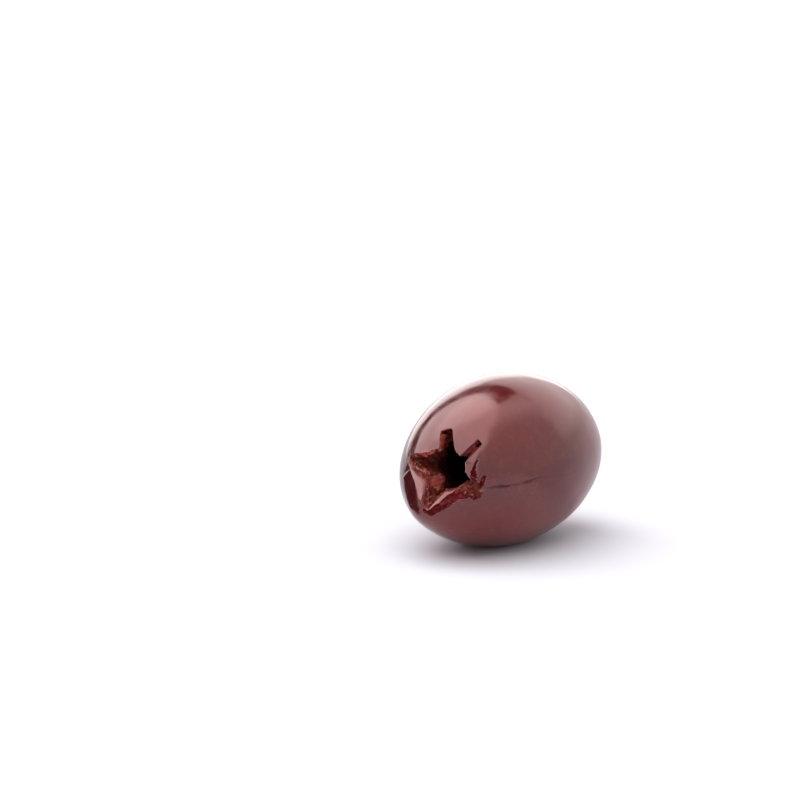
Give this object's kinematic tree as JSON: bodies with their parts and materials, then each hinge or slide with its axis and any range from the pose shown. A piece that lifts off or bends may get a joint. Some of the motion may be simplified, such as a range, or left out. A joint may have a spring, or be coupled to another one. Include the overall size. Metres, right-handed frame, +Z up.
{
  "type": "pitted kalamata olive",
  "caption": "Dark red kalamata olive lying on its side, pitted: star-shaped tear at the pointed end, hollow chamber where the pit was, round punch hole at the stem end.",
  "frame": {"origin": "on the surface that the olive rests on, under the middle of its bounding box", "axes": "+X along the pitting channel, from the star-shaped tear at the pointed end towards the stem end; +Z up"},
  "size_m": [0.0268, 0.0178, 0.0175],
  "materials": {
    "olive_skin": "wet glossy maroon fruit skin, with wet red-brown flesh where it is cut"
  },
  "bodies": {
    "root": {"olive": "olive_skin"}
  },
  "joints": []
}
